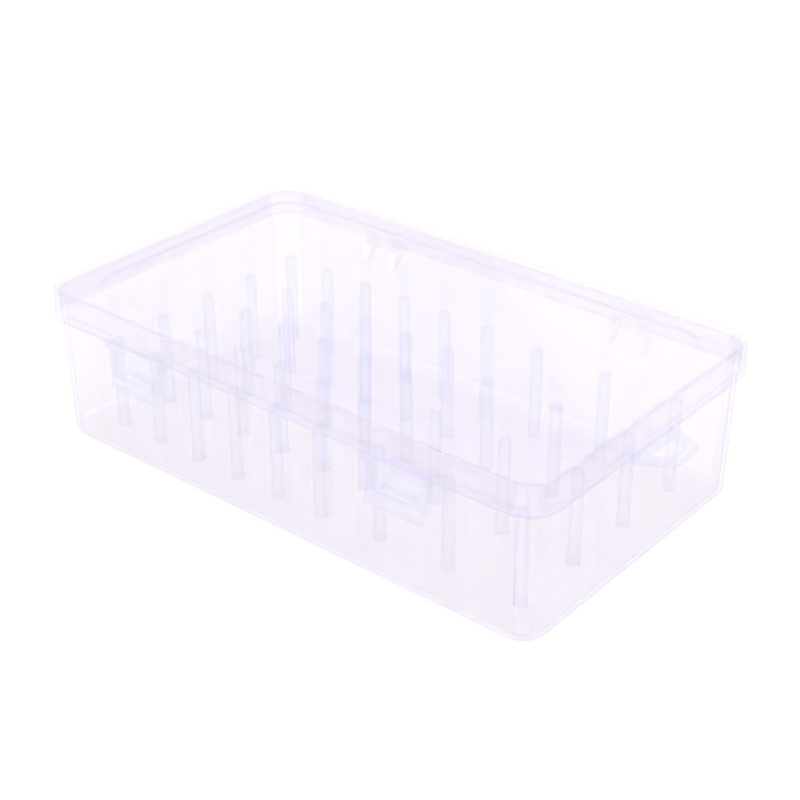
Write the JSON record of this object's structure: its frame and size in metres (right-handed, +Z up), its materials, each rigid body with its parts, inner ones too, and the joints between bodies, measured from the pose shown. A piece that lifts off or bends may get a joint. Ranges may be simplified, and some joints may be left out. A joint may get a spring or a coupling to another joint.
{
  "type": "bobbin box",
  "caption": "Clear hinged storage box with two front latches, an end loop and upright pegs on its floor that hold thread spools and bobbins.",
  "frame": {"origin": "centre of the flat underside of the tub, on the surface it stands on", "axes": "+X along the length towards the end loop, -Y towards the latches, +Y towards the hinges, +Z up"},
  "size_m": [0.2576, 0.158, 0.067],
  "materials": {
    "clear_shell": "clear moulded polypropylene, faint frost",
    "clear_lid": "clear moulded polypropylene, light frost",
    "clear_clip": "milky clear moulded polypropylene",
    "clear_peg": "milky clear moulded polypropylene"
  },
  "bodies": {
    "case": {"tub": "clear_shell", "end_loop": "clear_clip", "hinge_pin_left": "clear_clip", "hinge_pin_right": "clear_clip", "small_pegs_row_1": "clear_peg", "small_pegs_row_2": "clear_peg", "small_pegs_row_3": "clear_peg", "small_pegs_row_4": "clear_peg", "small_pegs_row_5": "clear_peg", "large_pegs_row_1": "clear_peg", "large_pegs_row_2": "clear_peg", "large_pegs_row_3": "clear_peg", "large_pegs_row_4": "clear_peg"},
    "lid": {"lid": "clear_lid"},
    "latch_left": {"latch_left": "clear_clip"},
    "latch_right": {"latch_right": "clear_clip"}
  },
  "joints": [
    {"name": "lid_hinge", "type": "hinge", "parent": "case", "child": "lid", "pos_m": [0, 0.0752, 0.051], "axis": [-1, 0, 0], "range_deg": [0, 115]},
    {"name": "latch_left_pivot", "type": "hinge", "parent": "lid", "child": "latch_left", "pos_m": [-0.065, -0.0739, 0.055], "axis": [-1, 0, 0], "range_deg": [0, 135]},
    {"name": "latch_right_pivot", "type": "hinge", "parent": "lid", "child": "latch_right", "pos_m": [0.065, -0.0739, 0.055], "axis": [-1, 0, 0], "range_deg": [0, 135]}
  ]
}
